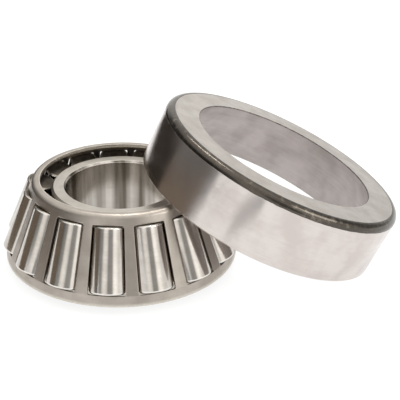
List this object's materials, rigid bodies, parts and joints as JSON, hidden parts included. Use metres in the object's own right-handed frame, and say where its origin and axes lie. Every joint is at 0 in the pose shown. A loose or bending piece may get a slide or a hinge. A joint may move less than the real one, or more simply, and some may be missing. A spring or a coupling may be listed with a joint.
{
  "type": "tapered roller bearing",
  "caption": "Single-row tapered roller bearing: cone with caged tapered rollers, and its separate cup leaning on the cone.",
  "frame": {"origin": "on the bearing axis in the middle of the cone's bore", "axes": "+Z along the bearing axis out of the cone's small end, +X towards the leaning cup; the part stands on the plane Z = -15.08 mm"},
  "size_m": [0.1492, 0.0952, 0.0594],
  "materials": {
    "cone_steel": "ground bearing steel",
    "cage_steel": "satin pressed low-carbon steel",
    "roller_steel": "finely ground and polished bearing steel",
    "cup_steel": "ground bearing steel, edge radii left dark from heat treatment"
  },
  "bodies": {
    "inner_ring": {"inner_ring": "cone_steel"},
    "cage": {"cage": "cage_steel"},
    "roller_01": {"roller_01": "roller_steel"},
    "roller_02": {"roller_02": "roller_steel"},
    "roller_03": {"roller_03": "roller_steel"},
    "roller_04": {"roller_04": "roller_steel"},
    "roller_05": {"roller_05": "roller_steel"},
    "roller_06": {"roller_06": "roller_steel"},
    "roller_07": {"roller_07": "roller_steel"},
    "roller_08": {"roller_08": "roller_steel"},
    "roller_09": {"roller_09": "roller_steel"},
    "roller_10": {"roller_10": "roller_steel"},
    "roller_11": {"roller_11": "roller_steel"},
    "roller_12": {"roller_12": "roller_steel"},
    "roller_13": {"roller_13": "roller_steel"},
    "roller_14": {"roller_14": "roller_steel"},
    "roller_15": {"roller_15": "roller_steel"},
    "cup": {"cup": "cup_steel"}
  },
  "joints": [
    {"name": "cage_turn", "type": "hinge", "parent": "inner_ring", "child": "cage", "pos_m": [0, 0, 0], "axis": [0, 0, 1], "continuous": true},
    {"name": "roller_01_spin", "type": "hinge", "parent": "cage", "child": "roller_01", "pos_m": [0.03888, -0.00115, -0.00881], "axis": [-0.343, 0.0102, 0.9393], "continuous": true},
    {"name": "roller_02_spin", "type": "hinge", "parent": "cage", "child": "roller_02", "pos_m": [0.03599, 0.01476, -0.00881], "axis": [-0.3175, -0.1302, 0.9393], "continuous": true},
    {"name": "roller_03_spin", "type": "hinge", "parent": "cage", "child": "roller_03", "pos_m": [0.02688, 0.02812, -0.00881], "axis": [-0.2371, -0.2481, 0.9393], "continuous": true},
    {"name": "roller_04_spin", "type": "hinge", "parent": "cage", "child": "roller_04", "pos_m": [0.01311, 0.03662, -0.00881], "axis": [-0.1157, -0.3231, 0.9393], "continuous": true},
    {"name": "roller_05_spin", "type": "hinge", "parent": "cage", "child": "roller_05", "pos_m": [-0.00292, 0.03879, -0.00881], "axis": [0.0257, -0.3422, 0.9393], "continuous": true},
    {"name": "roller_06_spin", "type": "hinge", "parent": "cage", "child": "roller_06", "pos_m": [-0.01844, 0.03425, -0.00881], "axis": [0.1627, -0.3022, 0.9393], "continuous": true},
    {"name": "roller_07_spin", "type": "hinge", "parent": "cage", "child": "roller_07", "pos_m": [-0.03078, 0.02379, -0.00881], "axis": [0.2715, -0.2099, 0.9393], "continuous": true},
    {"name": "roller_08_spin", "type": "hinge", "parent": "cage", "child": "roller_08", "pos_m": [-0.03779, 0.00921, -0.00881], "axis": [0.3334, -0.0813, 0.9393], "continuous": true},
    {"name": "roller_09_spin", "type": "hinge", "parent": "cage", "child": "roller_09", "pos_m": [-0.03827, -0.00696, -0.00881], "axis": [0.3376, 0.0614, 0.9393], "continuous": true},
    {"name": "roller_10_spin", "type": "hinge", "parent": "cage", "child": "roller_10", "pos_m": [-0.03214, -0.02192, -0.00881], "axis": [0.2835, 0.1934, 0.9393], "continuous": true},
    {"name": "roller_11_spin", "type": "hinge", "parent": "cage", "child": "roller_11", "pos_m": [-0.02044, -0.0331, -0.00881], "axis": [0.1803, 0.292, 0.9393], "continuous": true},
    {"name": "roller_12_spin", "type": "hinge", "parent": "cage", "child": "roller_12", "pos_m": [-0.00521, -0.03855, -0.00881], "axis": [0.046, 0.3401, 0.9393], "continuous": true},
    {"name": "roller_13_spin", "type": "hinge", "parent": "cage", "child": "roller_13", "pos_m": [0.01092, -0.03734, -0.00881], "axis": [-0.0963, 0.3294, 0.9393], "continuous": true},
    {"name": "roller_14_spin", "type": "hinge", "parent": "cage", "child": "roller_14", "pos_m": [0.02516, -0.02967, -0.00881], "axis": [-0.222, 0.2617, 0.9393], "continuous": true},
    {"name": "roller_15_spin", "type": "hinge", "parent": "cage", "child": "roller_15", "pos_m": [0.03505, -0.01687, -0.00881], "axis": [-0.3092, 0.1488, 0.9393], "continuous": true},
    {"name": "cup_lift", "type": "slide", "parent": "inner_ring", "child": "cup", "axis": [0.406, 0, 0.9139], "range_m": [0, 0.04]}
  ],
  "couplings": [
    {"joint": "roller_01_spin", "follows": "cage_turn", "ratio": 4.4713},
    {"joint": "roller_02_spin", "follows": "cage_turn", "ratio": 4.4713},
    {"joint": "roller_03_spin", "follows": "cage_turn", "ratio": 4.4713},
    {"joint": "roller_04_spin", "follows": "cage_turn", "ratio": 4.4713},
    {"joint": "roller_05_spin", "follows": "cage_turn", "ratio": 4.4713},
    {"joint": "roller_06_spin", "follows": "cage_turn", "ratio": 4.4713},
    {"joint": "roller_07_spin", "follows": "cage_turn", "ratio": 4.4713},
    {"joint": "roller_08_spin", "follows": "cage_turn", "ratio": 4.4713},
    {"joint": "roller_09_spin", "follows": "cage_turn", "ratio": 4.4713},
    {"joint": "roller_10_spin", "follows": "cage_turn", "ratio": 4.4713},
    {"joint": "roller_11_spin", "follows": "cage_turn", "ratio": 4.4713},
    {"joint": "roller_12_spin", "follows": "cage_turn", "ratio": 4.4713},
    {"joint": "roller_13_spin", "follows": "cage_turn", "ratio": 4.4713},
    {"joint": "roller_14_spin", "follows": "cage_turn", "ratio": 4.4713},
    {"joint": "roller_15_spin", "follows": "cage_turn", "ratio": 4.4713}
  ]
}
